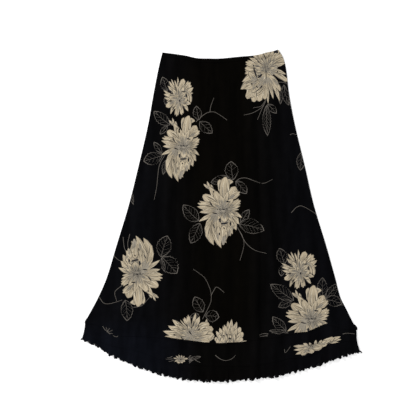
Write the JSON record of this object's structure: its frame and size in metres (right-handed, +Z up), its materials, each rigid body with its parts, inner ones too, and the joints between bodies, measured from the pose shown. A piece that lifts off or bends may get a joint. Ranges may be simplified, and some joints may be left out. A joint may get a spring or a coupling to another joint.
{
  "type": "maxi skirt",
  "caption": "Long flared skirt laid flat, black cloth with a cream flower print, a narrow elastic waist and layered flounces with a lettuce hem.",
  "frame": {"origin": "middle of the skirt's outline as it lies, on the surface that it lies on", "axes": "+Y towards the waist, +X to the right as seen from above, +Z up, out of the front of the skirt"},
  "size_m": [0.7778, 0.9284, 0.0154],
  "materials": {
    "printed_cloth": "fine matt black crepe printed with cream flowers and grey line leaves",
    "plain_cloth": "fine matt black crepe with an overlocked, rippled edge"
  },
  "bodies": {
    "root": {"body_front": "printed_cloth", "body_back": "printed_cloth", "waist_casing_front": "printed_cloth", "waist_casing_back": "printed_cloth", "upper_flounce_front": "printed_cloth", "upper_flounce_back": "printed_cloth", "lower_flounce_front": "plain_cloth", "lower_flounce_back": "plain_cloth"}
  },
  "joints": []
}
